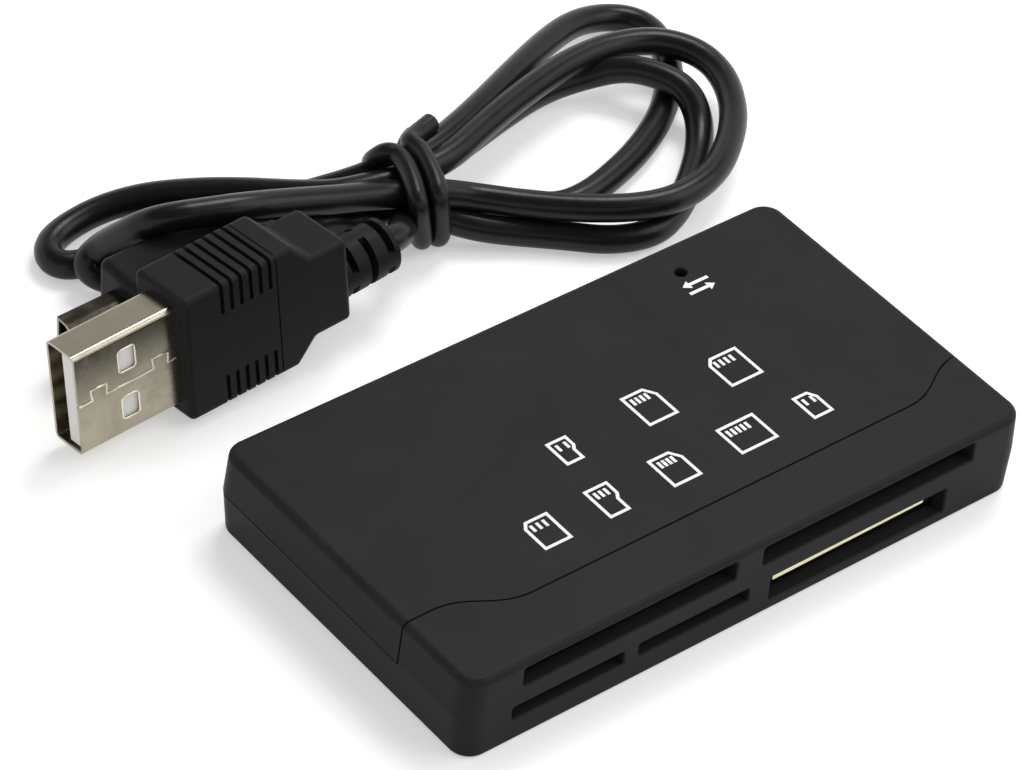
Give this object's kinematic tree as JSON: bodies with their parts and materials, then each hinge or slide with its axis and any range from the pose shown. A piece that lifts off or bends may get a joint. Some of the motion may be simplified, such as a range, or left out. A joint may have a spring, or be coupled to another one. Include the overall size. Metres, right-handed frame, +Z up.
{
  "type": "usb memory card reader",
  "caption": "Flat black memory card reader with card slots along its front, a curved seam on top, an indicator hole, and its unplugged lead folded and tied beside it.",
  "frame": {"origin": "on the floor under the middle of the reader's case, the lead not counted", "axes": "+X along the long side, to the right as seen from the card slots; the slots face -Y; +Z up"},
  "size_m": [0.0935, 0.0861, 0.0161],
  "materials": {
    "case_black": "fine matte texture",
    "board_green": "solder resist",
    "socket_black": "moulded",
    "shield_brass": "bright sheet",
    "contact_gold": "plated",
    "inlet_steel": "tinned sheet",
    "chip_black": "moulded",
    "lead_tin": "tinned",
    "can_steel": "polished can",
    "capacitor_tan": "ceramic",
    "resistor_black": "ceramic",
    "led_clear": "clear lens",
    "plug_steel": "bright rolled sheet",
    "insulator_white": "moulded",
    "insulator_black": "moulded",
    "grip_black": "soft moulded",
    "cable_black": "satin jacket",
    "tie_black": "plastic covered wire"
  },
  "bodies": {
    "root": {"upper_shell": "case_black", "lower_housing": "case_black", "circuit_board": "board_green", "card_socket_top_left": "socket_black", "card_socket_top_right": "socket_black", "card_socket_low_left": "socket_black", "card_socket_low_middle": "socket_black", "card_socket_low_right": "socket_black", "socket_shield": "shield_brass", "contacts_top_left": "contact_gold", "contacts_top_right": "contact_gold", "contacts_low_left": "contact_gold", "contacts_low_middle": "contact_gold", "contacts_low_right": "contact_gold", "rear_card_socket": "socket_black", "rear_card_pins": "contact_gold", "usb_inlet_shell": "inlet_steel", "usb_inlet_core": "socket_black", "usb_inlet_contacts": "contact_gold", "controller_chip": "chip_black", "chip_leads": "lead_tin", "crystal_can": "can_steel", "voltage_regulator": "chip_black", "chip_capacitors": "capacitor_tan", "chip_resistors": "resistor_black", "indicator_led": "led_clear", "usb_a_shell": "plug_steel", "usb_a_insulator": "insulator_white", "usb_a_contacts": "contact_gold", "usb_a_grip": "grip_black", "mini_b_shell": "plug_steel", "mini_b_insulator": "insulator_black", "mini_b_contacts": "contact_gold", "mini_b_grip": "grip_black", "cable_hank": "cable_black", "cable_lead_a": "cable_black", "cable_lead_b": "cable_black", "cable_tie": "tie_black"}
  },
  "joints": []
}
